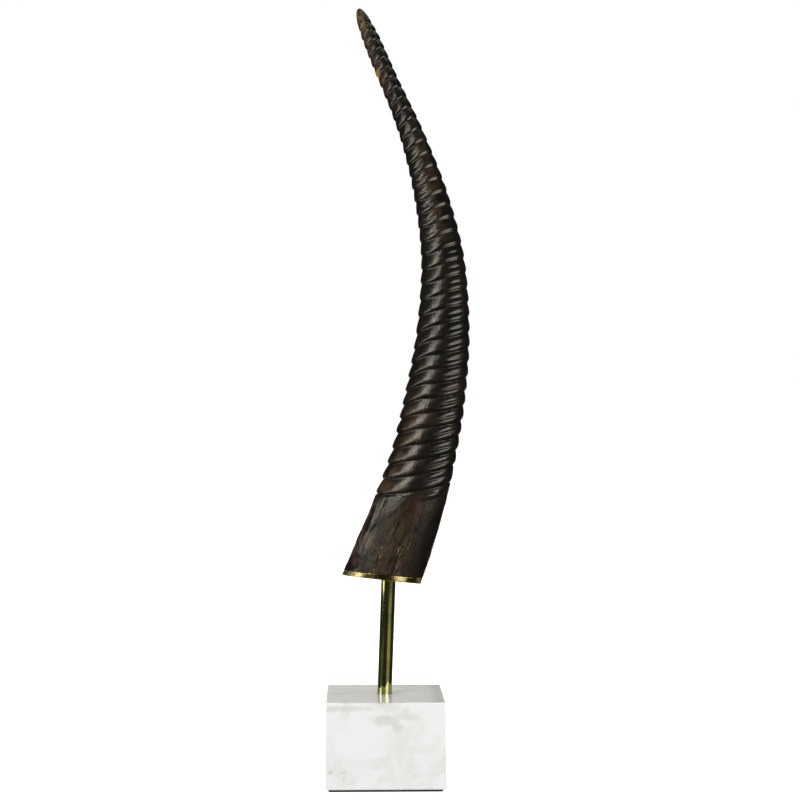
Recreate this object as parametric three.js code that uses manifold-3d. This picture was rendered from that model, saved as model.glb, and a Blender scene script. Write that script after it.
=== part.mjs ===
// A mounted antelope horn: a ringed, curved horn on a brass plate, held up by
// a brass rod that stands in a block of white marble on a thin dark pad.
// Millimetres, +Z up, +X to the right and -Y towards a viewer in front.
// The origin is the middle of the pad's underside.

import * as THREE from 'three';
import { mergeVertices } from 'three/addons/utils/BufferGeometryUtils.js';
import Module from 'manifold-3d';

const wasm = await Module();
wasm.setup();

// Sizes shared by several pieces
const clearance = 0.3; // air left between pieces that touch in the real object

// Foot pad and marble block
const pad = { side: 98, thickness: 1.5, cornerRadius: 2.5 };
const block = { side: 102, top: 76, edgeRadius: 1.3, edgeSteps: 2 };

// Brass rod: it leans a little to the right, and goes into the block and the horn
const rod = {
  radius: 6.35,
  axisAtBlock: new THREE.Vector3(-0.3, 0, block.top),
  leanRight: 2, // degrees
  depthInBlock: 20,
  length: 150,
  endChamfer: 0.8,
  sides: 32,
};

// Brass plate: its faces follow the horn's cut foot, its edge the horn's flare
const plate = { thickness: 5.6, loops: 2 };

// The horn's stations, from the underside of the plate to the tip: a point on
// the centre line, half the width there, and the degrees by which the growth
// rings rise to the right and to the front of a square cut across the horn
const stations = [
  { at: [-3.2, 0, 176], half: 34.8, riseRight: 13.5, riseFront: 14.5 },
  { at: [16.6, -10.4, 232], half: 31.6, riseRight: 25, riseFront: 2 },
  { at: [33, -16.7, 288], half: 28.3, riseRight: 28, riseFront: 0 },
  { at: [43.7, -19.1, 344], half: 26.2, riseRight: 28, riseFront: 0 },
  { at: [49.6, -17.8, 400], half: 22.8, riseRight: 28, riseFront: 0 },
  { at: [49.2, -13, 456], half: 19, riseRight: 26, riseFront: 0 },
  { at: [39.8, -4.4, 512], half: 14.7, riseRight: 20, riseFront: 2 },
  { at: [23.4, 8.2, 568], half: 10.6, riseRight: 12, riseFront: 6 },
  { at: [1.3, 25.3, 624], half: 8.2, riseRight: 8, riseFront: 7 },
  { at: [-23.3, 47, 686.5], half: 8.8, riseRight: 8, riseFront: 7 },
];

const horn = {
  depthRatio: 0.74, // depth of the oval section over its width
  turn: -22, // degrees the oval is turned about the centre line, seen from the tip
  sides: 24,
  plainLoops: 9, // loops up the smooth stretch above the foot
  shoulder: 0.4, // how far the smooth stretch stands out of the mean surface
  tipTaper: 60, // length over which the section closes like an ellipse to the tip
  tipPlain: 17, // length of the tip above the last ring
  tipLoops: 6,
  tipFlat: 0.15, // share of the section left at the last loop
};

// Growth rings: the lowest starts at the top of the smooth stretch, and the
// step from ring to ring shortens towards the tip
const rings = { start: 86, lowestStep: 13.3, highestStep: 9.2, lowestHeight: 2.1, highestHeight: 1.3 };

// One ring from the furrow under its lip upwards: share of the step, share of the height
const ringProfile = [
  { up: 0, out: 0 },
  { up: 0.16, out: 1 },
  { up: 0.42, out: 0.84 },
  { up: 0.76, out: 0.42 },
];
const ringMean = 0.55; // share of a ring's height that lies inside the mean surface

// The centre line, and the other values of the stations on a curve of the same parameter
const centreLine = new THREE.CatmullRomCurve3(
  stations.map((station) => new THREE.Vector3(...station.at)), false, 'catmullrom', 0.5);
const sectionCurve = new THREE.CatmullRomCurve3(
  stations.map((station) => new THREE.Vector3(station.half, station.riseRight, station.riseFront)),
  false, 'catmullrom', 0.5);
centreLine.arcLengthDivisions = 2000;
const hornLength = centreLine.getLength();

// Frame of the cross section at a distance up the centre line
function sectionAt(distance) {
  const share = THREE.MathUtils.clamp(distance / hornLength, 0, 1);
  const parameter = centreLine.getUtoTmapping(share);
  const centre = centreLine.getPoint(parameter);
  const up = centreLine.getTangent(parameter);
  const right = new THREE.Vector3(0, 1, 0).cross(up).normalize();
  const back = up.clone().cross(right);
  const values = sectionCurve.getPoint(parameter);
  return { centre, up, right, back, half: values.x, riseRight: values.y, riseFront: values.z };
}

// Share of the section that is left at a distance, as the tip closes like an ellipse
function tipClosing(distance) {
  const share = Math.max(0, (distance - hornLength + horn.tipTaper) / horn.tipTaper);
  return Math.sqrt(1 - Math.min(1, share) ** 2);
}

// A point of the horn's surface; angle 0 is the right edge, a quarter turn on is the back
function surfacePoint(distance, angle, reach, relief) {
  const section = sectionAt(distance);
  const scale = reach * (section.half * tipClosing(distance) + relief);
  const oval = new THREE.Vector2(Math.cos(angle), Math.sin(angle) * horn.depthRatio);
  oval.rotateAround(new THREE.Vector2(), THREE.MathUtils.degToRad(horn.turn)).multiplyScalar(scale);
  const along = Math.tan(THREE.MathUtils.degToRad(section.riseRight)) * oval.x
    - Math.tan(THREE.MathUtils.degToRad(section.riseFront)) * oval.y;
  return section.centre.clone()
    .addScaledVector(section.right, oval.x)
    .addScaledVector(section.back, oval.y)
    .addScaledVector(section.up, along);
}

// A closed body through loops of the horn's form; each loop has a distance and
// a relief in millimetres
function stackOfLoops(loops, sides) {
  const geometry = new THREE.CylinderGeometry(1, 1, loops.length - 1, sides, loops.length - 1);
  const position = geometry.attributes.position;
  for (let i = 0; i < position.count; i += 1) {
    const loop = loops[Math.round(position.getY(i) + (loops.length - 1) / 2)];
    const angle = Math.atan2(-position.getZ(i), position.getX(i));
    const rim = Math.hypot(position.getX(i), position.getZ(i));
    const point = surfacePoint(loop.distance, angle, rim, loop.relief);
    position.setXYZ(i, point.x, point.y, point.z);
  }
  return geometry;
}

// Loops of the smooth stretch, of every growth ring and of the rounded tip
function hornLoops() {
  const loops = [];
  const foot = plate.thickness + clearance;
  for (let i = 0; i < horn.plainLoops; i += 1) {
    const distance = THREE.MathUtils.lerp(foot, rings.start - 1, i / (horn.plainLoops - 1));
    const relief = horn.shoulder * THREE.MathUtils.smoothstep(distance, foot, rings.start);
    loops.push({ distance, relief });
  }
  const tipStart = hornLength - horn.tipPlain;
  let start = rings.start;
  while (start < tipStart) {
    const share = (start - rings.start) / (tipStart - rings.start);
    const step = THREE.MathUtils.lerp(rings.lowestStep, rings.highestStep, share * share);
    const height = THREE.MathUtils.lerp(rings.lowestHeight, rings.highestHeight, share);
    for (const place of ringProfile) {
      const distance = start + place.up * step;
      if (distance < tipStart) {
        loops.push({ distance, relief: height * (place.out - ringMean) });
      }
    }
    start += step;
  }
  const lastOpening = Math.acos(horn.tipFlat);
  const firstOpening = Math.asin(1 - horn.tipPlain / horn.tipTaper);
  for (let i = 0; i < horn.tipLoops; i += 1) {
    const turn = THREE.MathUtils.lerp(firstOpening, lastOpening, i / (horn.tipLoops - 1));
    loops.push({ distance: hornLength - horn.tipTaper * (1 - Math.sin(turn)), relief: 0 });
  }
  return loops;
}

// A solid for boolean work from a closed geometry
function toSolid(geometry) {
  geometry.deleteAttribute('normal');
  geometry.deleteAttribute('uv');
  const merged = mergeVertices(geometry, 1e-4);
  const vertProperties = new Float32Array(merged.attributes.position.array);
  const triVerts = new Uint32Array(merged.index.array);
  return new wasm.Manifold(new wasm.Mesh({ numProp: 3, vertProperties, triVerts }));
}

// A geometry from a solid
function toGeometry(solid) {
  const mesh = solid.getMesh();
  const geometry = new THREE.BufferGeometry();
  geometry.setAttribute('position', new THREE.BufferAttribute(mesh.vertProperties, 3));
  geometry.setIndex(new THREE.BufferAttribute(mesh.triVerts, 1));
  geometry.computeVertexNormals();
  return geometry;
}

// Unit vector up the rod, and the height of its foot in the block
const rodUp = new THREE.Vector3(Math.sin(THREE.MathUtils.degToRad(rod.leanRight)), 0,
  Math.cos(THREE.MathUtils.degToRad(rod.leanRight)));
const rodFoot = rod.axisAtBlock.clone().addScaledVector(rodUp, -rod.depthInBlock);

// A round bar on the rod's axis, larger than the rod by the given air all round
function barOnRodAxis(air) {
  const radius = rod.radius + air;
  const length = rod.length + 2 * air;
  const outline = [
    new THREE.Vector2(0, -air),
    new THREE.Vector2(radius - rod.endChamfer, -air),
    new THREE.Vector2(radius, rod.endChamfer - air),
    new THREE.Vector2(radius, length - air - rod.endChamfer),
    new THREE.Vector2(radius - rod.endChamfer, length - air),
    new THREE.Vector2(0, length - air),
  ];
  const geometry = new THREE.LatheGeometry(outline, rod.sides);
  geometry.applyQuaternion(new THREE.Quaternion().setFromUnitVectors(new THREE.Vector3(0, 1, 0), rodUp));
  geometry.translate(rodFoot.x, rodFoot.y, rodFoot.z);
  return geometry;
}

// A square slab with rounded upright edges, from one height to another
function squareSlab(side, low, high, edgeRadius, cornerRadius, edgeSteps) {
  const half = side / 2 - edgeRadius;
  const corner = half - cornerRadius;
  const shape = new THREE.Shape();
  for (let i = 0; i < 4; i += 1) {
    const middle = new THREE.Vector2(corner, corner).rotateAround(new THREE.Vector2(), i * Math.PI / 2);
    shape.absarc(middle.x, middle.y, cornerRadius, i * Math.PI / 2, (i + 1) * Math.PI / 2, false);
  }
  const geometry = new THREE.ExtrudeGeometry(shape, {
    depth: high - low - 2 * edgeRadius,
    bevelEnabled: edgeRadius > 0,
    bevelThickness: edgeRadius,
    bevelSize: edgeRadius,
    bevelSegments: edgeSteps,
    curveSegments: 3,
  });
  geometry.translate(0, 0, low + edgeRadius);
  return geometry;
}

const group = new THREE.Group();

function addPiece(name, geometry, colour, roughness, metalness) {
  const material = new THREE.MeshStandardMaterial({ color: colour, roughness, metalness });
  const mesh = new THREE.Mesh(geometry, material);
  mesh.name = name;
  group.add(mesh);
}

// The rod's sockets and the plate's hole are all cut by one bar with air round it
const socketCutter = toSolid(barOnRodAxis(clearance));

// Foot pad
addPiece('foot_pad', squareSlab(pad.side, 0, pad.thickness, 0, pad.cornerRadius, 1), 0x24211f, 0.95, 0);

// Marble block
const blockSolid = toSolid(squareSlab(block.side, pad.thickness + clearance, block.top,
  block.edgeRadius, block.edgeRadius, block.edgeSteps));
addPiece('marble_block', toGeometry(blockSolid.subtract(socketCutter)), 0xe9e7e3, 0.22, 0);

// Rod
addPiece('rod', toGeometry(toSolid(barOnRodAxis(0))), 0x7d7642, 0.25, 1);

// Plate
const plateLoops = Array.from({ length: plate.loops }, (_, i) => (
  { distance: plate.thickness * i / (plate.loops - 1), relief: 0 }));
const plateSolid = toSolid(stackOfLoops(plateLoops, 2 * horn.sides));
addPiece('base_plate', toGeometry(plateSolid.subtract(socketCutter)), 0xa58a3a, 0.3, 1);

// Horn
const hornSolid = toSolid(stackOfLoops(hornLoops(), horn.sides));
addPiece('horn', toGeometry(hornSolid.subtract(socketCutter)), 0x2a211b, 0.38, 0);

export default group;
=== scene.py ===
# Mounted horn: the looks of the horn, its brass plate and rod, the marble block and its foot pad
import math

import bmesh
import bpy
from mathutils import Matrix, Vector, noise


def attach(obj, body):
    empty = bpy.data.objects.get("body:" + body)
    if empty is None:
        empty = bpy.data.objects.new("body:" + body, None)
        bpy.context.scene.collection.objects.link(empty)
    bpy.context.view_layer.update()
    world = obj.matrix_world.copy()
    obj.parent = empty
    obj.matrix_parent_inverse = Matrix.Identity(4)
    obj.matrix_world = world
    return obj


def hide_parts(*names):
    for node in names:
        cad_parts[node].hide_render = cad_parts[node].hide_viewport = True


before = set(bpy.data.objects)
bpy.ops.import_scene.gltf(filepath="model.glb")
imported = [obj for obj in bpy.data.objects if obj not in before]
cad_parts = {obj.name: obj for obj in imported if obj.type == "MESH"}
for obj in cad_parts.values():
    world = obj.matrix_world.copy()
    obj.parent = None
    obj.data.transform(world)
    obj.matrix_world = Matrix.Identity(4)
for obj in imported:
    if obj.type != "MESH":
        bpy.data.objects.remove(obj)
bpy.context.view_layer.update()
mm = 0.001
touching = 1e-4  # points this close together, in millimetres, count as one
print("frame loaded:", ", ".join(sorted(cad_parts)))


# Camera: level, in front of the block, as the photo's perspective of the block gives it
viewpoint = {"spot": (-0.029, -1.614, 0.3334), "turnRight": 1.5, "lens": 82.8, "sensor": 36.0}


def makeCamera():
    data = bpy.data.cameras.new("camera")
    data.lens = viewpoint["lens"]
    data.sensor_width = viewpoint["sensor"]
    camera = bpy.data.objects.new("camera", data)
    camera.location = viewpoint["spot"]
    camera.rotation_euler = (math.pi / 2, 0, -math.radians(viewpoint["turnRight"]))
    bpy.context.scene.collection.objects.link(camera)
    bpy.context.scene.camera = camera


makeCamera()


# Small helpers for meshes
def smoothStep(low, high, value):
    share = min(1.0, max(0.0, (value - low) / (high - low)))
    return share * share * (3 - 2 * share)


def blendTo(low, high, share):
    return low + (high - low) * share


def hump(value, middle, width):
    # 1 at the middle, falling smoothly to 0 at a width to either side
    return 1 - smoothStep(0, width, abs(value - middle))


def turnBetween(angle, middle):
    # the signed angle from middle to angle, the short way round
    return (angle - middle + math.pi) % (2 * math.pi) - math.pi


def facing(angle, middle, width):
    # 1 where the angle is at the middle, smoothly down to 0 at a width to either side, both in degrees
    return hump(turnBetween(angle, math.radians(middle)), 0, math.radians(width))


def waves(around, distance, layers):
    # noise round an upright form and along it, summed over layers of scale, shift, length and height
    total = 0.0
    for scale, shift, length, height in layers:
        total += height * noise.noise(around * scale + Vector((*shift, distance / length)))
    return total


def addPiece(name, bm, sharpAngle=None):
    for face in bm.faces:
        face.smooth = True
    if sharpAngle:
        for edge in bm.edges:
            edge.smooth = len(edge.link_faces) == 2 and edge.calc_face_angle() < math.radians(sharpAngle)
    mesh = bpy.data.meshes.new(name)
    bm.to_mesh(mesh)
    bm.free()
    piece = bpy.data.objects.new(name, mesh)
    bpy.context.scene.collection.objects.link(piece)
    return piece


# Shader sockets as plain expressions
class Wire:
    def __init__(self, finish, socket):
        self.finish = finish
        self.socket = socket

    def calc(self, operation, first, second=None):
        inputs = {0: first} if second is None else {0: first, 1: second}
        return self.finish.node("ShaderNodeMath", {"operation": operation}, inputs)

    def __add__(self, other):
        return self.calc("ADD", self, other)

    def __radd__(self, other):
        return self.calc("ADD", other, self)

    def __sub__(self, other):
        return self.calc("SUBTRACT", self, other)

    def __rsub__(self, other):
        return self.calc("SUBTRACT", other, self)

    def __mul__(self, other):
        return self.calc("MULTIPLY", self, other)

    def __rmul__(self, other):
        return self.calc("MULTIPLY", other, self)

    def __truediv__(self, other):
        return self.calc("DIVIDE", self, other)

    def __abs__(self):
        return self.calc("ABSOLUTE", self)

    def between(self, low, high, fromValue=0.0, toValue=1.0):
        # smooth rise from fromValue at low to toValue at high
        settings = {"interpolation_type": "SMOOTHSTEP"}
        inputs = {"Value": self, "From Min": low, "From Max": high, "To Min": fromValue, "To Max": toValue}
        return self.finish.node("ShaderNodeMapRange", settings, inputs)

    def falling(self, low, high):
        # 1 up to low, falling smoothly to 0 at high
        return self.between(low, high, 1.0, 0.0)

    def near(self, middle, full, gone):
        # 1 as far as full from the middle, falling smoothly to 0 at gone
        return abs(self - middle).falling(full, gone)


class Finish:
    def __init__(self, name):
        self.material = bpy.data.materials.new(name)
        self.material.use_nodes = True
        self.tree = self.material.node_tree
        self.tree.nodes.clear()

    def node(self, kind, settings=None, inputs=None, out=0):
        made = self.tree.nodes.new(kind)
        for key, value in (settings or {}).items():
            setattr(made, key, value)
        for key, value in (inputs or {}).items():
            if isinstance(value, Wire):
                self.tree.links.new(value.socket, made.inputs[key])
            elif isinstance(value, tuple) and len(value) == 3 and made.inputs[key].type == "RGBA":
                made.inputs[key].default_value = (*value, 1)
            else:
                made.inputs[key].default_value = value
        return Wire(self, made.outputs[out]) if len(made.outputs) else None

    def place(self):
        return self.node("ShaderNodeTexCoord", out="Object")

    def attribute(self, name, out="Fac"):
        return self.node("ShaderNodeAttribute", {"attribute_name": name}, out=out)

    def stretched(self, vector, scale, shift=(0, 0, 0)):
        return self.node("ShaderNodeMapping", None, {"Vector": vector, "Scale": scale, "Location": shift})

    def cloud(self, vector, scale, detail, rough, warp=0.0):
        inputs = {"Vector": vector, "Scale": scale, "Detail": detail, "Roughness": rough, "Distortion": warp}
        return self.node("ShaderNodeTexNoise", None, inputs)

    def cells(self, vector, scale):
        return self.node("ShaderNodeTexVoronoi", None, {"Vector": vector, "Scale": scale})

    def parts(self, vector):
        made = self.node("ShaderNodeSeparateXYZ", None, {"Vector": vector})
        sockets = made.socket.node.outputs
        return [Wire(self, sockets[i]) for i in range(3)]

    def mix(self, first, second, share):
        return self.node("ShaderNodeMix", {"data_type": "RGBA"}, {0: share, 6: first, 7: second}, out=2)

    def bump(self, height, distance, strength, below=None):
        inputs = {"Height": height, "Distance": distance, "Strength": strength}
        if below is not None:
            inputs["Normal"] = below
        return self.node("ShaderNodeBump", None, inputs)

    def closed(self, shader):
        self.node("ShaderNodeOutputMaterial", None, {"Surface": shader})
        return self.material

    def surface(self, inputs):
        return self.closed(self.node("ShaderNodeBsdfPrincipled", None, inputs))


# The horn's form: the same stations as the solid, in millimetres and degrees
hornForm = {
    "stations": [  # point on the centre line, half width, rise of the rings to the right and to the front
        ((-3.2, 0, 176), 34.8, 13.5, 14.5),
        ((16.6, -10.4, 232), 31.6, 25, 2),
        ((33, -16.7, 288), 28.3, 28, 0),
        ((43.7, -19.1, 344), 26.2, 28, 0),
        ((49.6, -17.8, 400), 22.8, 28, 0),
        ((49.2, -13, 456), 19, 26, 0),
        ((39.8, -4.4, 512), 14.7, 20, 2),
        ((23.4, 8.2, 568), 10.6, 12, 6),
        ((1.3, 25.3, 624), 8.2, 8, 7),
        ((-23.3, 47, 686.5), 8.8, 8, 7),
    ],
    "depthRatio": 0.74,
    "turn": -22,  # turns the oval's broad front a little to the left
    "tipTaper": 60,  # the stretch that rounds off to the tip
    "tipPlain": 17,  # the stretch at the tip that has no rings
    "tipEnd": 0.95,  # the last loop lies this far below the tip
    "slimHalf": 6,  # the relief fades where half the width is less
    # swellings all over: scale of the noise round the horn, its shift, its length and its height
    "swells": [(1.2, (8, 4), 22, 0.2), (5, (1, 2), 7, 0.09)],
    "sides": 140,
    "lengthSteps": 2000,
    "plainLoops": 88,
    "ringLoops": 16,
    "tipLoops": 26,
    "sharpAngle": 70,
}
ringForm = {
    "start": 86, "lowestStep": 13.3, "highestStep": 9.2, "lowestHeight": 2.3, "highestHeight": 1.4,
    "lowestLip": 0.3, "highestLip": 0.2,  # place of the crest in a ring
    "mean": 0.57,  # share of the height that lies inside the mean surface
    "sway": 0.7,  # how far a ring wanders up and down on its way round
    "swayWaves": [(1.1, (3.1, 7.7), 70, 1), (2.6, (9.4, 1.3), 16, 0.35)],
    "wanderFrom": 12,  # the rings wander fully from this far above the lowest furrow
    "rightEdge": (0, 45), "leftEdge": (213, 50),  # angle and width of the horn's two edges
    "leftEdgeFrom": (170, 230),
    "edgeHeight": 0.62,  # share of the height that the rings keep at these edges
    "front": (0.1, 0.6),  # shares of the way from the back to the front over which the rings grow
    "backHeight": 0.85,  # share of the height that they keep at the back
    "unlikeness": (1.7, (0, 0), 3.7, 0.3),  # from ring to ring: scale, shift, stride and share
    "lowestBlend": (-1.0, 0.8), "highestBlend": (-4, 3),  # how the ringed stretch begins and ends
    "plainRise": 0.4,  # how far the top of the smooth stretch stands out
}
# Growth was uneven: at a distance, how far the rings sit above their even places on the left and
# on the right, and how far they bulge up left of the front
ringDrift = [
    (86, 0, 3, 0), (126, 3, 0.8, 2), (152, 5.5, -0.6, 3), (180, 3.2, -3.4, 4.5), (205, 2, -4.3, 3.7),
    (230, 2, -4, 3), (256, 6, -3.8, 0), (280, 8.5, -3.6, -1.3), (312, 7.5, -3.4, -1.3),
    (345, 6.5, -3, -1.3), (381, 4.5, 1, -1.8), (405, 3, 3, -0.4), (440, 2.5, 3.9, 0), (465, 5, 4.5, 0),
    (523, 4, 4.3, 0),
]
driftBulge = {"angle": 257, "width": 55}
# Two columns face the viewer: the one on the right splits each ring in two low down, the left one higher up
columns = {
    "right": -42, "left": -92, "width": 52, "change": (285, 335), "leftEnd": (372, 402),
    "depth": 0.9, "unlikeness": (2, (4, 0), 1.9, 0.3),
    # a split ring: shares of the single ridge, of the two arches and of the whole, and the arches' fullness
    "ridgeShare": 0.3, "archShare": 0.52, "baseShare": 0.04, "fullness": 0.6,
}
# The smooth foot under the rings
footForm = {
    "swells": [(2.4, (5, 5), 40, 0.35)],
    "flakes": [(2.1, (2, 6), 17, 1)], "flakeEdge": (0.02, 0.1), "flakeHeight": 0.3,
    "cracks": [(5.5, (7, 1), 30, 1)], "crackWidth": 0.07, "crackDepth": 0.28,
    "smoothSide": (-30, 50),  # angle and width of the side without flakes and cracks
    "halfRing": {"side": (-46, 30), "place": 80.5, "reach": 4.4, "height": 1.5},
}
# The plate and the rod, with the same measures as the solids
plateForm = {"thickness": 5.6, "clearance": 0.3}
rodForm = {
    "radius": 6.35, "clearance": 0.3, "blockTop": 76, "atBlock": -0.3, "leanRight": 2,
    "inBlock": 20, "length": 150,
}
holeRadius = rodForm["radius"] + rodForm["clearance"]


def stationCurve(values, parameter):
    # uniform Catmull-Rom curve through vectors, with mirrored end points
    last = len(values) - 1
    index = min(int(parameter * last), last - 1)
    share = parameter * last - index
    before = values[index - 1] if index > 0 else 2 * values[0] - values[1]
    after = values[index + 2] if index + 2 <= last else 2 * values[last] - values[last - 1]
    start, end = values[index], values[index + 1]
    leave, arrive = (end - before) / 2, (after - start) / 2
    cubic = 2 * start - 2 * end + leave + arrive
    square = -3 * start + 3 * end - 2 * leave - arrive
    return ((cubic * share + square) * share + leave) * share + start


class HornAxis:
    def __init__(self):
        self.points = [Vector(station[0]) for station in hornForm["stations"]]
        self.values = [Vector(station[1:]) for station in hornForm["stations"]]
        steps = hornForm["lengthSteps"]
        self.reached = [0.0]
        previous = self.points[0]
        for i in range(1, steps + 1):
            point = stationCurve(self.points, i / steps)
            self.reached.append(self.reached[-1] + (point - previous).length)
            previous = point
        self.length = self.reached[-1]
        self.step = 0

    def parameterAt(self, distance):
        low, high = 0, len(self.reached) - 1
        while high - low > 1:
            middle = (low + high) // 2
            if self.reached[middle] <= distance:
                low = middle
            else:
                high = middle
        share = (distance - self.reached[low]) / (self.reached[high] - self.reached[low])
        return min(1.0, max(0.0, (low + share) / (len(self.reached) - 1)))

    def section(self, distance):
        # centre, directions up, right and back, half width, and the slopes of the ring plane
        parameter = self.parameterAt(distance)
        centre = stationCurve(self.points, parameter)
        nearby = 1e-4
        ahead = stationCurve(self.points, min(1.0, parameter + nearby))
        behind = stationCurve(self.points, max(0.0, parameter - nearby))
        up = (ahead - behind).normalized()
        right = Vector((0, 1, 0)).cross(up).normalized()
        back = up.cross(right)
        half, riseRight, riseFront = stationCurve(self.values, parameter)
        taper = max(0.0, (distance - self.length + hornForm["tipTaper"]) / hornForm["tipTaper"])
        half *= math.sqrt(1 - min(1.0, taper) ** 2)
        return {
            "centre": centre, "up": up, "right": right, "back": back, "half": half,
            "slopeRight": math.tan(math.radians(riseRight)),
            "slopeFront": math.tan(math.radians(riseFront)),
        }


axis = HornAxis()


def layRings():
    # start, step and height of every growth ring, laid one after the other up to the plain tip
    laid = []
    top = axis.length - hornForm["tipPlain"]
    start = ringForm["start"]
    while start < top:
        share = (start - ringForm["start"]) / (top - ringForm["start"])
        step = blendTo(ringForm["lowestStep"], ringForm["highestStep"], share * share)
        laid.append((start, step, blendTo(ringForm["lowestHeight"], ringForm["highestHeight"], share)))
        start += step
    return laid


growthRings = layRings()
ringsTop = growthRings[-1][0] + growthRings[-1][1]


def ringPlace(distance):
    # number of the ring, place in it from 0 at its lower furrow to 1 at the next, and its height
    if distance <= growthRings[0][0]:
        return 0, 0.0, growthRings[0][2]
    for number, (start, step, height) in enumerate(growthRings):
        if distance < start + step:
            return number, (distance - start) / step, height
    return len(growthRings) - 1, 1.0, growthRings[-1][2]


def ridge(place, lip):
    # height of a ring from 0 to 1: a sharp furrow, a round rise to the crest at the lip and a longer fall
    if place < lip:
        return math.sin(math.pi / 2 * place / lip)
    return math.cos(math.pi / 2 * (place - lip) / (1 - lip))


def driftAt(distance, angle):
    # how far a ring sits above its even place, all the way round
    place = min(max(distance, ringDrift[0][0]), ringDrift[-1][0])
    after = next(i for i in range(1, len(ringDrift)) if place <= ringDrift[i][0])
    low, high = ringDrift[after - 1], ringDrift[after]
    share = (place - low[0]) / (high[0] - low[0])
    left, right, bulge = (blendTo(low[i], high[i], share) for i in (1, 2, 3))
    bulge *= facing(angle, driftBulge["angle"], driftBulge["width"])
    return blendTo(right, left, 0.5 - 0.5 * math.cos(angle)) + bulge


def fromRingToRing(around, number, layer):
    # noise round a ring, another for each ring
    scale, shift, stride, height = layer
    return height * noise.noise(around * scale + Vector((*shift, number * stride)))


def splitShare(distance, angle):
    # 1 where a ring shows as two ridges, 0 where it shows as one
    right = facing(angle, columns["right"], columns["width"])
    left = facing(angle, columns["left"], columns["width"])
    upward = smoothStep(*columns["change"], distance)
    return right * (1 - upward) + left * upward * (1 - smoothStep(*columns["leftEnd"], distance))


def ringHeight(distance, angle, around, number, height):
    # a ring's height at an angle: less at the back and at the horn's edges, and unlike the next ring's
    front = 0.5 - 0.5 * math.sin(angle)
    height *= blendTo(ringForm["backHeight"], 1, smoothStep(*ringForm["front"], front))
    leftEdge = facing(angle, *ringForm["leftEdge"]) * smoothStep(*ringForm["leftEdgeFrom"], distance)
    edge = max(facing(angle, *ringForm["rightEdge"]), leftEdge)
    height *= blendTo(1, ringForm["edgeHeight"], edge)
    return height * (1 + fromRingToRing(around, number, ringForm["unlikeness"]))


def ringShape(distance, angle, around, number, place):
    # a ring's profile from 0 to 1 at a place in it: one ridge, or two arches where it is split
    upward = (distance - ringForm["start"]) / (axis.length - ringForm["start"])
    lip = blendTo(ringForm["lowestLip"], ringForm["highestLip"], min(1.0, max(0.0, upward)))
    single = ridge(place, lip)
    arch = math.sin(math.pi * (2 * place % 1))
    arch *= 1 + columns["fullness"] - columns["fullness"] * arch
    twin = columns["ridgeShare"] * single + columns["archShare"] * arch + columns["baseShare"]
    split = splitShare(distance, angle)
    split *= columns["depth"] + fromRingToRing(around, number, columns["unlikeness"])
    return blendTo(single, twin, split)


def hornRelief(distance, angle, section):
    # how far the surface stands out of the mean oval, in millimetres, at an angle of the oval
    around = Vector((math.cos(angle), math.sin(angle), 0))
    wander = ringForm["sway"] * waves(around, distance, ringForm["swayWaves"]) - driftAt(distance, angle)
    wander *= smoothStep(0, ringForm["wanderFrom"], distance - ringForm["start"])
    number, place, height = ringPlace(distance + wander)
    ringed = ringHeight(distance, angle, around, number, height)
    ringed *= ringShape(distance, angle, around, number, place) - ringForm["mean"]
    plain = ringForm["plainRise"] * smoothStep(0, ringForm["start"], distance)
    plain += footRelief(distance, angle, around)
    share = smoothStep(*ringForm["lowestBlend"], distance - ringForm["start"])
    share *= 1 - smoothStep(*ringForm["highestBlend"], distance - ringsTop)
    relief = blendTo(plain, ringed, share) + waves(around, distance, hornForm["swells"])
    return relief * min(1.0, section["half"] / hornForm["slimHalf"])


def footRelief(distance, angle, around):
    # the smooth foot: lengthwise swellings, thin flakes with sharp edges, and a half ring on the right
    flake = smoothStep(*footForm["flakeEdge"], waves(around, distance, footForm["flakes"]))
    crack = 1 - smoothStep(0, footForm["crackWidth"], abs(waves(around, distance, footForm["cracks"])))
    rough = footForm["flakeHeight"] * flake - footForm["crackDepth"] * crack
    rough *= 1 - facing(angle, *footForm["smoothSide"])
    half = footForm["halfRing"]
    ring = half["height"] * facing(angle, *half["side"]) * hump(distance, half["place"], half["reach"])
    return waves(around, distance, footForm["swells"]) + rough + ring


def hornPoint(section, angle, relief):
    # a point on the loop through a section, with the relief in millimetres
    turn = math.radians(hornForm["turn"])
    size = section["half"] + relief
    wide, deep = math.cos(angle) * size, math.sin(angle) * hornForm["depthRatio"] * size
    x = wide * math.cos(turn) - deep * math.sin(turn)
    y = wide * math.sin(turn) + deep * math.cos(turn)
    along = section["slopeRight"] * x - section["slopeFront"] * y
    return section["centre"] + section["right"] * x + section["back"] * y + section["up"] * along


def rodPoint(height):
    # centre of the rod at a height in millimetres above the foot
    lean = math.tan(math.radians(rodForm["leanRight"]))
    return Vector((rodForm["atBlock"] + lean * (height - rodForm["blockTop"]), 0, height))


rodUp = (rodPoint(1) - rodPoint(0)).normalized()


def socketLoop(section):
    # the loop, in metres, in which a section's plane cuts the round hole for the rod
    planeRight = section["right"] + section["up"] * section["slopeRight"]
    planeBack = section["back"] - section["up"] * section["slopeFront"]
    normal = planeRight.cross(planeBack).normalized()
    foot = rodPoint(rodForm["blockTop"])
    loop = []
    turn = math.radians(hornForm["turn"])
    for i in range(hornForm["sides"]):
        angle = 2 * math.pi * i / hornForm["sides"] + turn
        start = foot + Vector((math.cos(angle), math.sin(angle), 0)) * holeRadius
        travel = (section["centre"] - start).dot(normal) / rodUp.dot(normal)
        loop.append((start + rodUp * travel) * mm)
    return loop


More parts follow.
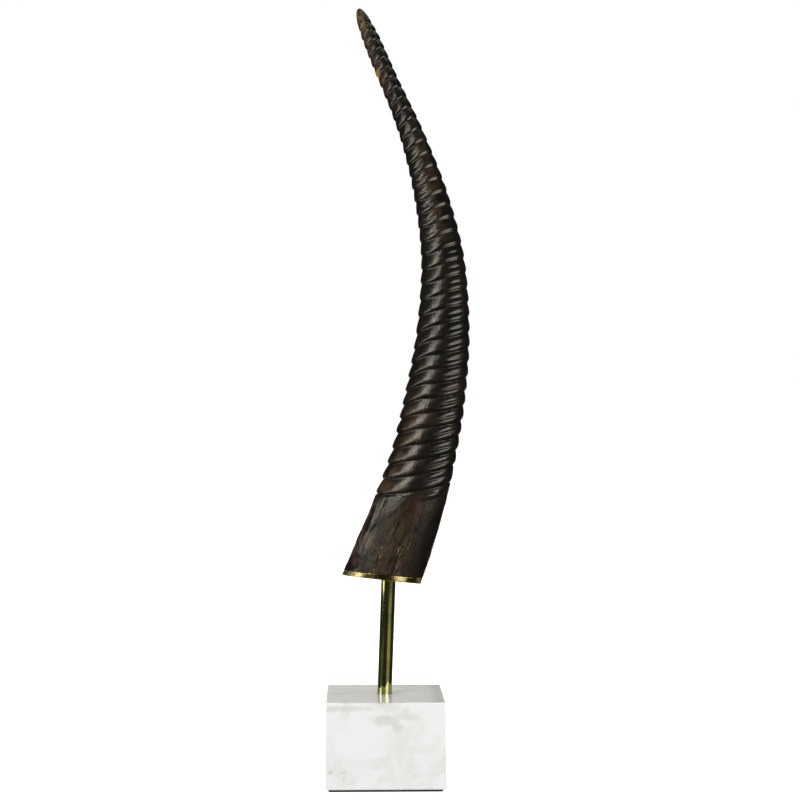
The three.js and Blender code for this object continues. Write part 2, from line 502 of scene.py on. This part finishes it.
def hornDistances():
    foot = plateForm["thickness"] + plateForm["clearance"]
    distances = []
    for i in range(hornForm["plainLoops"]):
        distances.append(blendTo(foot, ringForm["start"], i / hornForm["plainLoops"]))
    for start, step, _ in growthRings:
        for i in range(hornForm["ringLoops"]):
            distances.append(start + step * i / hornForm["ringLoops"])
    tip = axis.length - ringsTop
    for i in range(hornForm["tipLoops"]):
        turn = math.pi / 2 * i / (hornForm["tipLoops"] - 1)
        distances.append(ringsTop + (tip - hornForm["tipEnd"]) * math.sin(turn))
    return distances


def wrapStack(bm, distances, reliefAt, layers=None):
    # a grid wrapped round the horn's form: one row of faces between every two distances
    rows, sides = len(distances) - 1, hornForm["sides"]
    bmesh.ops.create_grid(bm, x_segments=sides, y_segments=rows, size=0.5)
    sections = [axis.section(distance) for distance in distances]
    for vertex in bm.verts:
        column = round((vertex.co.x + 0.5) * sides) % sides
        row = round((vertex.co.y + 0.5) * rows)
        angle = 2 * math.pi * column / sides
        relief = reliefAt(distances[row], angle, sections[row])
        if layers:
            straight, stand = layers
            half = sections[row]["half"]
            deep = half * hornForm["depthRatio"]
            vertex[straight] = Vector((half * math.cos(angle), deep * math.sin(angle), distances[row])) * mm
            vertex[stand] = relief
        vertex.co = hornPoint(sections[row], angle, relief) * mm
    bmesh.ops.remove_doubles(bm, verts=bm.verts[:], dist=touching * mm)
    return sections


def openLoops(bm):
    # the boundary loops of an open mesh, each a list of edges
    waiting = {edge for edge in bm.edges if edge.is_boundary}
    loops = []
    while waiting:
        loop, queue = [], [waiting.pop()]
        while queue:
            edge = queue.pop()
            loop.append(edge)
            for vertex in edge.verts:
                for neighbour in vertex.link_edges:
                    if neighbour in waiting:
                        waiting.remove(neighbour)
                        queue.append(neighbour)
        loops.append(loop)
    return sorted(loops, key=lambda edges: sum(e.verts[0].co.z for e in edges) / len(edges))


def bearing(point, centre):
    return math.atan2(point.y - centre.y, point.x - centre.x)


def drawLoop(bm, edges, places):
    # extrudes a boundary loop and moves each new vertex to the nearest place by angle round the middle
    made = bmesh.ops.extrude_edge_only(bm, edges=edges)["geom"]
    verts = [item for item in made if isinstance(item, bmesh.types.BMVert)]
    middle = sum((v.co for v in verts), Vector()) / len(verts)
    target = sum(places, Vector()) / len(places)
    ordered = sorted(verts, key=lambda vertex: bearing(vertex.co, middle))
    placed = sorted(places, key=lambda place: bearing(place, target))
    for vertex, place in zip(ordered, placed):
        vertex.co = place
    return [item for item in made if isinstance(item, bmesh.types.BMEdge)]


def closeSolid(bm):
    bmesh.ops.holes_fill(bm, edges=[edge for edge in bm.edges if edge.is_boundary], sides=0)
    bmesh.ops.recalc_face_normals(bm, faces=bm.faces[:])


def makeHorn():
    bm = bmesh.new()
    straight = bm.verts.layers.float_vector.new("straight")
    stand = bm.verts.layers.float.new("stand")
    distances = hornDistances()
    sections = wrapStack(bm, distances, hornRelief, (straight, stand))
    mouth = socketLoop(sections[0])
    # the socket's roof lies just above the rod's end
    blockTop = rodPoint(rodForm["blockTop"]) * mm
    reach = (rodForm["length"] - rodForm["inBlock"] + rodForm["clearance"]) * mm
    roof = [place + rodUp * (reach - (place - blockTop).dot(rodUp)) for place in mouth]
    edges = drawLoop(bm, openLoops(bm)[0], mouth)
    drawLoop(bm, edges, roof)
    closeSolid(bm)
    return addPiece("horn_shell", bm, hornForm["sharpAngle"])


horn = makeHorn()
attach(horn, "root")
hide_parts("horn")
print("horn made:", len(growthRings), "rings,", len(horn.data.polygons), "faces")


# Brass plate under the horn's cut foot, filed by hand to the horn's flare
plateLook = {
    "edgeRound": 0.55, "edgeLoops": 4, "wallLoops": 6, "sharpAngle": 50,
    "filing": [(2.4, (2, 6), 9, 0.22), (8, (4, 1), 4, 0.08)],
    # where a flat was filed: angle, spread, and how far it leans in at the top, or out if below 0
    "facets": [
        (-138, 17, 1.0), (-88, 24, -0.5), (-48, 12, 0.9), (-12, 6, 0.7), (60, 20, 0.8), (130, 14, 0.9),
    ],
}


def plateRelief(distance, angle, section):
    around = Vector((math.cos(angle), math.sin(angle), 0))
    filed = waves(around, distance, plateLook["filing"])
    for middle, spread, lean in plateLook["facets"]:
        filed -= facing(angle, middle, spread) * lean * distance / plateForm["thickness"]
    low = max(0.0, plateLook["edgeRound"] - distance) / plateLook["edgeRound"]
    high = max(0.0, distance - plateForm["thickness"] + plateLook["edgeRound"]) / plateLook["edgeRound"]
    eased = 1 - math.sqrt(1 - min(1.0, max(low, high)) ** 2)
    return filed - plateLook["edgeRound"] * eased


def makePlate():
    bm = bmesh.new()
    ease, top = plateLook["edgeRound"], plateForm["thickness"]
    distances = []
    for i in range(plateLook["edgeLoops"]):
        distances.append(ease * (1 - math.cos(math.pi / 2 * i / plateLook["edgeLoops"])))
    for i in range(plateLook["wallLoops"]):
        distances.append(blendTo(ease, top - ease, i / plateLook["wallLoops"]))
    for i in range(plateLook["edgeLoops"] + 1):
        distances.append(top - ease + ease * math.sin(math.pi / 2 * i / plateLook["edgeLoops"]))
    sections = wrapStack(bm, distances, plateRelief)
    lower, upper = openLoops(bm)
    rims = drawLoop(bm, lower, socketLoop(sections[0])) + drawLoop(bm, upper, socketLoop(sections[-1]))
    bmesh.ops.bridge_loops(bm, edges=rims)
    bmesh.ops.recalc_face_normals(bm, faces=bm.faces[:])
    return addPiece("plate_shell", bm, plateLook["sharpAngle"])


plate = makePlate()
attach(plate, "root")
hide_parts("base_plate")
print("brass plate made")


# Brass rod
rodLook = {
    "sides": 72, "rows": 90, "chamfer": 0.8, "chamferSegments": 3, "sharpAngle": 50,
    "waver": 0.035, "waverAcross": 9, "waverAlong": 14, "evenEnd": 2,
}


def makeRod():
    bm = bmesh.new()
    length = rodForm["length"]
    bmesh.ops.create_cone(bm, cap_ends=True, cap_tris=False, segments=rodLook["sides"],
                          radius1=rodForm["radius"], radius2=rodForm["radius"], depth=length)
    walls = [edge for edge in bm.edges if abs(edge.verts[0].co.z - edge.verts[1].co.z) > length / 2]
    bmesh.ops.subdivide_edges(bm, edges=walls, cuts=rodLook["rows"], use_grid_fill=True)
    ends = {vertex for vertex in bm.verts if abs(abs(vertex.co.z) - length / 2) < touching}
    rims = [edge for edge in bm.edges if edge.verts[0] in ends and edge.verts[1] in ends]
    bmesh.ops.bevel(bm, geom=rims, offset=rodLook["chamfer"], offset_type="OFFSET",
                    segments=rodLook["chamferSegments"], profile=0.5, affect="EDGES", material=-1)
    foot = rodPoint(rodForm["blockTop"]) - rodUp * rodForm["inBlock"]
    tilt = Vector((0, 0, 1)).rotation_difference(rodUp)
    for vertex in bm.verts:
        place = vertex.co.copy()
        flat = Vector((place.x, place.y, 0))
        wave = noise.noise(flat / rodLook["waverAcross"] + Vector((0, 0, place.z / rodLook["waverAlong"])))
        if abs(place.z) < length / 2 - rodLook["evenEnd"]:
            place += flat.normalized() * wave * rodLook["waver"]
        place.z += length / 2
        place.rotate(tilt)
        vertex.co = (foot + place) * mm
    bmesh.ops.recalc_face_normals(bm, faces=bm.faces[:])
    return addPiece("rod_bar", bm, rodLook["sharpAngle"])


rod = makeRod()
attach(rod, "root")
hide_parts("rod")
print("rod made")


# Marble block with eased edges and the rod's socket
blockForm = {
    "side": 102, "bottom": 1.8, "top": 76, "edge": 1.3, "edgeSegments": 4, "sharpAngle": 40,
    "socketSides": 64, "cutterOver": 6,  # the cutter stands this far out of the block
    "flatFrom": 0.9999,  # a face is flat when its normal follows an axis this closely
}


def cutSocket(piece):
    # the round hole for the rod, cut into the top of the block
    bm = bmesh.new()
    over, depth = blockForm["cutterOver"], rodForm["inBlock"] + rodForm["clearance"]
    bmesh.ops.create_cone(bm, cap_ends=True, segments=blockForm["socketSides"], radius1=holeRadius,
                          radius2=holeRadius, depth=depth + over)
    middle = rodPoint(rodForm["blockTop"]) + rodUp * ((over - depth) / 2)
    tilt = Vector((0, 0, 1)).rotation_difference(rodUp)
    for vertex in bm.verts:
        vertex.co.rotate(tilt)
        vertex.co = (vertex.co + middle) * mm
    cutter = addPiece("socket_cutter", bm)
    cut = piece.modifiers.new("socket", "BOOLEAN")
    cut.operation = "DIFFERENCE"
    cut.solver = "EXACT"
    cut.object = cutter
    evaluated = piece.evaluated_get(bpy.context.evaluated_depsgraph_get())
    mesh = bpy.data.meshes.new_from_object(evaluated)
    piece.modifiers.clear()
    piece.data = mesh
    bpy.data.objects.remove(cutter)


def makeBlock():
    bm = bmesh.new()
    bmesh.ops.create_cube(bm, size=1)
    height = blockForm["top"] - blockForm["bottom"]
    bmesh.ops.scale(bm, vec=(blockForm["side"] * mm, blockForm["side"] * mm, height * mm), verts=bm.verts[:])
    bmesh.ops.translate(bm, vec=(0, 0, (blockForm["bottom"] + height / 2) * mm), verts=bm.verts[:])
    bmesh.ops.bevel(bm, geom=bm.edges[:], offset=blockForm["edge"] * mm, offset_type="OFFSET",
                    segments=blockForm["edgeSegments"], profile=0.5, affect="EDGES", material=-1)
    piece = addPiece("marble_shape", bm, blockForm["sharpAngle"])
    bpy.context.view_layer.update()
    cutSocket(piece)
    for face in piece.data.polygons:
        # the six flat sides stay flat up to their eased edges
        if max(abs(value) for value in face.normal) > blockForm["flatFrom"]:
            face.use_smooth = False
    return piece


block = makeBlock()
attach(block, "root")
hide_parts("marble_block")
print("marble block made")


# Foot pad
padForm = {"side": 98, "thickness": 1.5, "corner": 2.5, "cornerSegments": 6, "sharpAngle": 40}


def makePad():
    bm = bmesh.new()
    bmesh.ops.create_cube(bm, size=1)
    size = Vector((padForm["side"], padForm["side"], padForm["thickness"])) * mm
    bmesh.ops.scale(bm, vec=size, verts=bm.verts[:])
    bmesh.ops.translate(bm, vec=(0, 0, padForm["thickness"] / 2 * mm), verts=bm.verts[:])
    upright = [edge for edge in bm.edges if abs(edge.verts[0].co.z - edge.verts[1].co.z) > size.z / 2]
    bmesh.ops.bevel(bm, geom=upright, offset=padForm["corner"] * mm, offset_type="OFFSET",
                    segments=padForm["cornerSegments"], profile=0.5, affect="EDGES", material=-1)
    return addPiece("felt_foot", bm, padForm["sharpAngle"])


pad = makePad()
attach(pad, "root")
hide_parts("foot_pad")
print("foot pad made")


# Horn finish, on the straightened horn: x across it, y from the front to the back, z along it
hornColours = {
    "black": (0.004, 0.0034, 0.0026),
    "olive": (0.0095, 0.0074, 0.0037),
    "brown": (0.018, 0.0094, 0.0046),
    "warm": (0.085, 0.048, 0.024),
    "red": (0.034, 0.0085, 0.0045),
    "umber": (0.042, 0.026, 0.0125),
    "greyDustAndSheen": (0.17, 0.143, 0.115),
    "straw": (0.24, 0.165, 0.08),
    "amber": (0.17, 0.115, 0.03),
    "pink": (0.09, 0.056, 0.036),
    "gold": (0.3, 0.17, 0.04),
}
# Noises: scale along the horn against that across it, scale, detail, roughness, warp
hornClouds = {
    "combed": (0.35, 420, 3, 0.6, 0.3),
    "mottle": (0.6, 130, 5, 0.62, 0),
    "grain": (0.25, 240, 4, 0.65, 0.4),
    "patches": (1, 34, 4, 0.55, 0),
    "veins": (0.2, 110, 3, 0.6, 0.5),
}
# Marks: in millimetres, where each begins, is full, is no longer full and ends
hornMarks = {
    "leftColumnTanAndHighlight": {"x": (-23, -13, -5, 5), "z": (84, 94, 130, 210)},
    "lowestRingsTanAndHighlight": {"x": (-31, -23, -17, -9), "z": (84, 90, 115, 140)},
    "betweenColumns": {"x": (-4, 3, 7, 14), "z": (275, 320, 380, 425)},
    "front": {"y": (None, None, -16, -2)},
    "foot": {"z": (None, None, 74, 88)},
    "footEdge": {"x": (None, None, -31, -22)},
    "footMiddle": {"x": (-14, 2, 14, 30)},
    "footBlush": {"x": (0, 7, 13, 20), "z": (50, 62, None, None)},
    "footLeft": {"x": (-33, -25, -17, -9), "z": (15, 35, None, None)},
    "footLowLeft": {"x": (-32, -20, -12, 0), "z": (None, None, 35, 60)},
    "footLow": {"z": (None, None, 30, 50)},
    "dryFoot": {"x": (-22, -12, None, None)},
    "rightSide": {"x": (1, 10, None, None)},
    "upperHorn": {"z": (240, 340, None, None)},
    "wornTip": {"x": (None, None, -3, 4), "z": (axis.length - 130, axis.length - 50, None, None)},
    "amberTip": {"x": (-5, -1.5, 0.5, 4), "z": (axis.length - 30, axis.length - 15, None, None)},
    "redSpot": {"x": (None, None, -6, 0), "y": (None, None, -4, 1), "z": (452, 458, 466, 472)},
    "goldenSpot": {"x": (None, None, -6, 0), "y": (None, None, -4, 1), "z": (466, 469, 473, 476)},
}
# Fades: along an axis, where each begins and ends, in millimetres, and the share that is left
# the grey on the foot's left is dust and a painted sheen, which fades towards the back
hornFades = {"dustAndSheenBehind": ("y", -2, 10, 0.25), "dryUpwards": ("z", 62, 78, 0.5)}
# Paints on the black horn, one over the other: colour, strength, the marks it lies in, and the noise
# that breaks it up with the values at which it begins and is full
hornPaints = [
    ("olive", 1, [], ("mottle", 0.4, 0.7)),
    # brown patches; warm tan on the backs of the lower rings, partly a painted highlight where the left
    # lights catch them; and brown between the columns higher up
    ("brown", 0.7, [], ("patches", 0.5, 0.68)),
    ("warm", 0.65, ["leftColumnTanAndHighlight", "raised"], ("mottle", 0.36, 0.6)),
    ("warm", 0.6, ["lowestRingsTanAndHighlight"], ("mottle", 0.4, 0.6)),
    ("umber", 0.6, ["betweenColumns"], ("mottle", 0.36, 0.6)),
    # the foot: red left edge, brown middle with a blush, grey dust on the left side with a painted sheen that
    # fades towards the back, pale cracks and specks
    ("red", 1, ["foot", "footEdge"], ("patches", 0.35, 0.55)),
    ("umber", 1, ["foot", "footMiddle"], ("grain", 0.36, 0.6)),
    ("red", 0.8, ["foot", "footBlush"], ("patches", 0.35, 0.55)),
    ("greyDustAndSheen", 0.8, ["foot", "footLeft", "dustAndSheenBehind"], ("grain", 0.44, 0.62)),
    ("warm", 0.7, ["footLowLeft"], ("mottle", 0.45, 0.66)),
    ("straw", 0.8, ["front", "cracks"], None),
    ("straw", 0.6, ["foot", "specks"], ("patches", 0.46, 0.55)),
    # a worn brown-pink stretch, amber in the middle of the tip, a red and a golden spot on the left
    ("brown", 1, ["wornTip"], ("patches", 0.35, 0.55)),
    ("pink", 0.6, ["wornTip", "wornTip"], ("mottle", 0.42, 0.62)),
    ("amber", 1, ["amberTip"], ("mottle", 0.3, 0.56)),
    ("red", 1, ["redSpot"], ("mottle", 0.38, 0.54)),
    ("gold", 1, ["goldenSpot"], ("mottle", 0.38, 0.54)),
    # painted shade: the recessed furrows darkened towards black
    ("black", 0.85, ["furrow"], None),
]
hornSpots = {
    "furrow": (-1.25, -0.55), "raised": (-0.6, 0.9),  # how far the surface stands out, in millimetres
    "crackWidth": 0.014, "crackMottle": (0.42, 0.55),
    "speckStretch": (1, 1, 0.7), "speckShift": (0.4, 0.1, 0.2), "speckScale": 85, "speckSize": (0.03, 0.09),
    "pitStretch": (1, 1, 0.5), "pitScale": 520, "pitSize": 0.3,
}
hornUneven = {
    "combed": 0.45, "mottle": 0.8, "mottleFoot": 1.6, "mottleUpper": 0.8, "evenSide": 0.7,
    # depth in millimetres and strength
    "uneven": (0.6, 0.6), "cracks": (-0.4, 0.6), "pits": (0.1, 0.15),
}
hornGloss = {
    "rough": 0.19, "mottle": 0.1, "combed": 0.08, "furrow": 0.14, "refraction": 1.62,
    "dryRough": 0.16, "dryRefraction": 1.4,
}


class HornFinish(Finish):
    def __init__(self):
        super().__init__("horn_polished")
        self.straight = self.attribute("straight", "Vector")
        self.along = dict(zip("xyz", self.parts(self.straight)))
        self.clouds = {}
        for name, (stretch, *numbers) in hornClouds.items():
            self.clouds[name] = self.cloud(self.stretched(self.straight, (1, 1, stretch)), *numbers)
        stand = self.attribute("stand")
        self.marks = {
            "furrow": stand.falling(*hornSpots["furrow"]), "raised": stand.between(*hornSpots["raised"]),
        }
        self.marks["cracks"] = self.crackLines()
        self.marks["specks"] = self.speckDots()

    def mark(self, name):
        if name not in self.marks:
            self.marks[name] = self.fade(name) if name in hornFades else self.patch(name)
        return self.marks[name]

    def patch(self, name):
        # 1 where a mark is full, falling smoothly to 0 at its ends
        share = 1.0
        for side, (begins, full, fades, ends) in hornMarks[name].items():
            if begins is not None:
                share = self.along[side].between(begins * mm, full * mm) * share
            if ends is not None:
                share = self.along[side].falling(fades * mm, ends * mm) * share
        return share

    def fade(self, name):
        side, begins, ends, left = hornFades[name]
        return self.along[side].between(begins * mm, ends * mm, 1.0, left)

    def crackLines(self):
        veins = abs(self.clouds["veins"] - 0.5).falling(0.0, hornSpots["crackWidth"])
        lines = veins * self.clouds["mottle"].between(*hornSpots["crackMottle"])
        return lines * self.mark("footMiddle") * self.mark("footLow")

    def speckDots(self):
        shifted = self.stretched(self.straight, hornSpots["speckStretch"], hornSpots["speckShift"])
        return self.cells(shifted, hornSpots["speckScale"]).falling(*hornSpots["speckSize"])

    def paint(self):
        colour = hornColours["black"]
        for name, strength, marks, broken in hornPaints:
            share = strength
            for mark in marks:
                share = self.mark(mark) * share
            if broken:
                share = self.clouds[broken[0]].between(*broken[1:]) * share
            colour = self.mix(colour, hornColours[name], share)
        return colour

    def unevenness(self):
        # small unevenness, least on the ridges of the right column, with cracks and pits
        foot = self.mark("foot")
        amount = hornUneven["mottle"] + hornUneven["mottleFoot"] * foot
        amount = amount + hornUneven["mottleUpper"] * self.mark("upperHorn")
        uneven = hornUneven["combed"] * self.clouds["combed"] + amount * self.clouds["mottle"]
        uneven = uneven * (1 - hornUneven["evenSide"] * self.mark("rightSide") * (1 - foot))
        place = self.stretched(self.straight, hornSpots["pitStretch"])
        pits = self.cells(place, hornSpots["pitScale"]).between(0.0, hornSpots["pitSize"])
        normal = None
        for name, height in (("uneven", uneven), ("cracks", self.mark("cracks") * foot), ("pits", pits)):
            depth, strength = hornUneven[name]
            normal = self.bump(height, depth * mm, strength, normal)
        return normal

    def shader(self, colour, rough, refraction, normal):
        return self.node("ShaderNodeBsdfPrincipled", None, {
            "Base Color": colour, "Roughness": rough, "IOR": refraction, "Normal": normal,
        })


def hornFinish():
    f = HornFinish()
    colour, normal = f.paint(), f.unevenness()
    rough = hornGloss["rough"] + hornGloss["mottle"] * f.clouds["mottle"]
    rough = rough + hornGloss["combed"] * f.clouds["combed"] + hornGloss["furrow"] * f.mark("furrow")
    polished = f.shader(colour, rough, hornGloss["refraction"], normal)
    # the foot is dry and dull but for its upper left
    dull = f.shader(colour, rough + hornGloss["dryRough"], hornGloss["dryRefraction"], normal)
    dry = f.mark("foot") * f.mark("dryFoot") * f.mark("dryUpwards")
    return f.closed(f.node("ShaderNodeMixShader", None, {0: dry, 1: polished, 2: dull}))


horn.data.materials.append(hornFinish())


# Brass finishes
brassLook = {
    # scale, detail and roughness of the noises
    "tarnish": (60, 5, 0.6), "spots": (260, 4, 0.6), "scratches": (2600, 2, 0.6),
    "tarnishFrom": (0.35, 0.65), "tarnishShare": 0.7, "spotsFrom": (0.5, 0.7), "spotsShare": 0.3,
    "scratchStretch": (1, 1, 0.05), "scratchDepth": 0.01, "scratchStrength": 0.2,
}
# Stretches of another colour, painted on the plate: pale painted highlights, a little rougher, and dark olive
# painted reflections between them; full as far as this share of their reach, and broken up by the spots
brassStretches = {
    "paintedDarkReflection": {"colour": (0.13, 0.11, 0.03), "full": 0.7, "spots": (0.34, 0.5), "share": 0.85, "rough": 0},
    "paintedHighlight": {"colour": (0.95, 0.86, 0.5), "full": 0.4, "spots": (0.3, 0.5), "share": 0.8, "rough": 0.25},
}
# Each stretch has a middle along X and a reach, in millimetres
plateBrass = {
    "name": "brass_filed", "bright": (0.8, 0.62, 0.2), "dull": (0.3, 0.24, 0.07),
    "rough": 0.14, "spread": 0.14,
    # dark painted reflections and pale painted highlights along the plate's front
    "paintedDarkReflection": [(-8, 15), (22, 5)], "paintedHighlight": [(-29, 9), (12, 8), (29, 3)],
}
rodBrass = {
    "name": "brass_darkened", "bright": (0.52, 0.52, 0.2), "dull": (0.24, 0.27, 0.12),
    "rough": 0.03, "spread": 0.06, "paintedDarkReflection": [], "paintedHighlight": [],
}


def brassFinish(brass):
    f = Finish(brass["name"])
    place = f.place()
    x = f.parts(place)[0]
    tarnish = f.cloud(place, *brassLook["tarnish"])
    spots = f.cloud(place, *brassLook["spots"])
    scratches = f.cloud(f.stretched(place, brassLook["scratchStretch"]), *brassLook["scratches"])
    dulled = tarnish.between(*brassLook["tarnishFrom"]) * brassLook["tarnishShare"]
    dulled = dulled + spots.between(*brassLook["spotsFrom"]) * brassLook["spotsShare"]
    colour = f.mix(brass["bright"], brass["dull"], dulled)
    rough = brass["rough"] + brass["spread"] * tarnish + 0.5 * brass["spread"] * spots
    for kind, look in brassStretches.items():
        for middle, reach in brass[kind]:
            here = x.near(middle * mm, look["full"] * reach * mm, reach * mm) * spots.between(*look["spots"])
            colour = f.mix(colour, look["colour"], here * look["share"])
            rough = rough + look["rough"] * here
    normal = f.bump(scratches, brassLook["scratchDepth"] * mm, brassLook["scratchStrength"])
    return f.surface({"Base Color": colour, "Metallic": 1.0, "Roughness": rough, "Normal": normal})


plate.data.materials.append(brassFinish(plateBrass))
rod.data.materials.append(brassFinish(rodBrass))


# Marble finish
marbleColours = {
    "white": (0.85, 0.88, 0.93), "cloud": (0.74, 0.745, 0.77), "vein": (0.56, 0.55, 0.56),
    "fleck": (0.82, 0.81, 0.79), "smudge": (0.58, 0.57, 0.575),
}
smudges = [  # middle and reach in mm across X and Z on the front, strength
    ((-38, 71), (26, 2.6), 0.75), ((0, 61), (13, 5), 0.8), ((18, 64), (9, 3), 0.5), ((10, 55), (5, 4), 0.7),
    ((-47, 17), (2, 2), 0.9), ((-36, 17), (2.6, 1.6), 0.8), ((-8, 24), (10, 6), 0.3),
    ((30, 36), (14, 5), 0.25),
]
marbleLook = {
    # scale, detail, roughness and warp of the noises
    "cloudy": (22, 5, 0.6, 0.8), "fine": (150, 4, 0.6, 0), "veins": (11, 6, 0.6, 1.4),
    "cloudFrom": (0.46, 0.7), "cloudShare": 0.65, "fleckFrom": (0.5, 0.8), "fleckShare": 0.2,
    "veinWidth": 0.04, "veinFrom": (0.48, 0.66), "veinShare": 0.22, "veinShareOnTop": 0.5,
    "topBelow": (1.5, 0.2), "front": (-51.5, -45),  # in millimetres
    "smudgeEdge": (-0.4, 1.7), "smudgeRagged": 2.2, "smudgeGrown": 1.1, "smudgeShare": 0.75,
    "rough": 0.16, "cloudRough": 0.1, "refraction": 1.5, "coat": 0.3, "coatRough": 0.08,
    "depth": 0.03, "strength": 0.2,
}


def marbleFinish():
    f = Finish("marble_polished")
    look = marbleLook
    place = f.place()
    x, y, z = f.parts(place)
    cloudy, fine = f.cloud(place, *look["cloudy"]), f.cloud(place, *look["fine"])
    veins = abs(f.cloud(place, *look["veins"]) - 0.5).falling(0.0, look["veinWidth"])
    # the veins show most on the top
    onTop = z.between(*((blockForm["top"] - below) * mm for below in look["topBelow"]))
    veins = veins * cloudy.between(*look["veinFrom"]) * (look["veinShare"] + look["veinShareOnTop"] * onTop)
    clouds = cloudy.between(*look["cloudFrom"]) * look["cloudShare"]
    colour = f.mix(marbleColours["white"], marbleColours["cloud"], clouds)
    colour = f.mix(colour, marbleColours["vein"], veins)
    colour = f.mix(colour, marbleColours["fleck"], fine.between(*look["fleckFrom"]) * look["fleckShare"])
    front = y.falling(*(edge * mm for edge in look["front"]))
    for (middleX, middleZ), (reachX, reachZ), strength in smudges:
        across = (x - middleX * mm) / (reachX * mm)
        upward = (z - middleZ * mm) / (reachZ * mm)
        away = across * across + upward * upward + look["smudgeRagged"] * fine - look["smudgeGrown"]
        share = front * away.falling(*look["smudgeEdge"]) * (look["smudgeShare"] * strength)
        colour = f.mix(colour, marbleColours["smudge"], share)
    return f.surface({
        "Base Color": colour, "Roughness": look["rough"] + look["cloudRough"] * cloudy,
        "IOR": look["refraction"], "Normal": f.bump(fine, look["depth"] * mm, look["strength"]),
        "Coat Weight": look["coat"], "Coat Roughness": look["coatRough"],
    })


block.data.materials.append(marbleFinish())


# Felt finish
feltLook = {
    "deep": (0.012, 0.011, 0.011), "pale": (0.04, 0.037, 0.035), "rough": 0.95,
    "fuzz": (3000, 4, 0.7),  # scale, detail and roughness of the noise
    "paleFrom": (0.3, 0.7), "depth": 0.2, "strength": 0.8,
}


def feltFinish():
    f = Finish("felt_dark")
    fuzz = f.cloud(f.place(), *feltLook["fuzz"])
    colour = f.mix(feltLook["deep"], feltLook["pale"], fuzz.between(*feltLook["paleFrom"]))
    normal = f.bump(fuzz, feltLook["depth"] * mm, feltLook["strength"])
    return f.surface({"Base Color": colour, "Roughness": feltLook["rough"], "Normal": normal})


pad.data.materials.append(feltFinish())
print("finishes made")


# Studio: pale floor, soft boxes to the left and right of the camera, dim ones above and behind, and
# others below the floor's level for the light that a table throws back
studio = {
    "floorSize": 60.0, "floorColour": (0.9, 0.9, 0.9), "floorRough": 0.9, "floorGlow": 0.85,
    "white": 1.0, "ambient": 0.52, "surround": 0.035, "lightColour": (1.0, 0.93, 0.8),
}
softBoxes = [
    # name, degrees to the right of the camera's side, distance, height of the middle and of the aim,
    # width, height, radiance
    ("left_low", -80, 1.7, 0.16, 0.2, 0.8, 0.2, 3.6),
    ("left_middle", -66, 1.7, 0.44, 0.4, 0.55, 0.34, 6.6),
    ("left_high", -51, 1.7, 0.96, 0.4, 0.5, 0.6, 7.8),
    ("left_top", -46, 1.7, 1.72, 0.5, 0.55, 0.7, 4.4),
    ("right_low", 36, 1.7, 0.26, 0.3, 1.4, 0.42, 5.4),
    ("right_high", 40, 1.7, 0.62, 0.4, 1.1, 0.28, 2.9),
    ("table_left", -66, 1.7, -0.4, 0.0, 1.7, 0.7, 0.1),
    ("table_right", 40, 1.7, -0.33, 0.0, 1.6, 0.55, 0.38),
    ("back_box", 180, 2.2, 1.5, 0.4, 1.2, 1.3, 0.9),
    ("back_low", -172, 2.2, 0.42, 0.2, 0.9, 0.3, 0.5),
    ("back_table", 180, 2.2, -0.2, 0.2, 2.2, 0.7, 1.2),
    ("top_box", 180, 0.5, 2.2, 0.2, 1.6, 1.6, 0.9),
]


def makeFloor():
    bm = bmesh.new()
    bmesh.ops.create_grid(bm, x_segments=1, y_segments=1, size=studio["floorSize"] / 2)
    floor = addPiece("floor", bm)
    f = Finish("floor_pale")
    floor.data.materials.append(f.surface({
        "Base Color": studio["floorColour"], "Roughness": studio["floorRough"], "Specular IOR Level": 0.0,
        "Emission Color": (1, 1, 1), "Emission Strength": studio["floorGlow"],
    }))
    # seen by the camera alone: it neither lights the object nor shows in its gloss
    floor.visible_glossy = False
    floor.visible_diffuse = False
    floor.visible_shadow = False


def makeSoftBox(name, side, distance, middle, aim, width, height, radiance):
    data = bpy.data.lights.new(name, "AREA")
    data.shape = "RECTANGLE"
    data.size = width
    data.size_y = height
    data.energy = radiance * math.pi * width * height
    data.color = studio["lightColour"]
    light = bpy.data.objects.new(name, data)
    turn = math.radians(side)
    light.location = (distance * math.sin(turn), -distance * math.cos(turn), middle)
    towards = Vector((0, 0, aim)) - Vector(light.location)
    light.rotation_euler = towards.to_track_quat("-Z", "Y").to_euler()
    light.visible_camera = False
    bpy.context.scene.collection.objects.link(light)


def makeWorld():
    # white behind the object, dim to its gloss, so that its edges stay dark
    world = bpy.data.worlds.new("studio")
    world.use_nodes = True
    bpy.context.scene.world = world
    tree = world.node_tree
    tree.nodes.clear()
    path = tree.nodes.new("ShaderNodeLightPath")
    mixes = []
    for socket, value in (("Is Glossy Ray", studio["surround"]), ("Is Camera Ray", studio["white"])):
        mix = tree.nodes.new("ShaderNodeMix")
        below = mixes[-1].outputs[0] if mixes else None
        tree.links.new(path.outputs[socket], mix.inputs[0])
        if below:
            tree.links.new(below, mix.inputs[2])
        else:
            mix.inputs[2].default_value = studio["ambient"]
        mix.inputs[3].default_value = value
        mixes.append(mix)
    background = tree.nodes.new("ShaderNodeBackground")
    output = tree.nodes.new("ShaderNodeOutputWorld")
    background.inputs["Color"].default_value = (1, 1, 1, 1)
    tree.links.new(mixes[-1].outputs[0], background.inputs["Strength"])
    tree.links.new(background.outputs[0], output.inputs[0])


makeFloor()
for box in softBoxes:
    makeSoftBox(*box)
makeWorld()
bpy.context.scene.view_settings.view_transform = "Standard"
print("studio made")
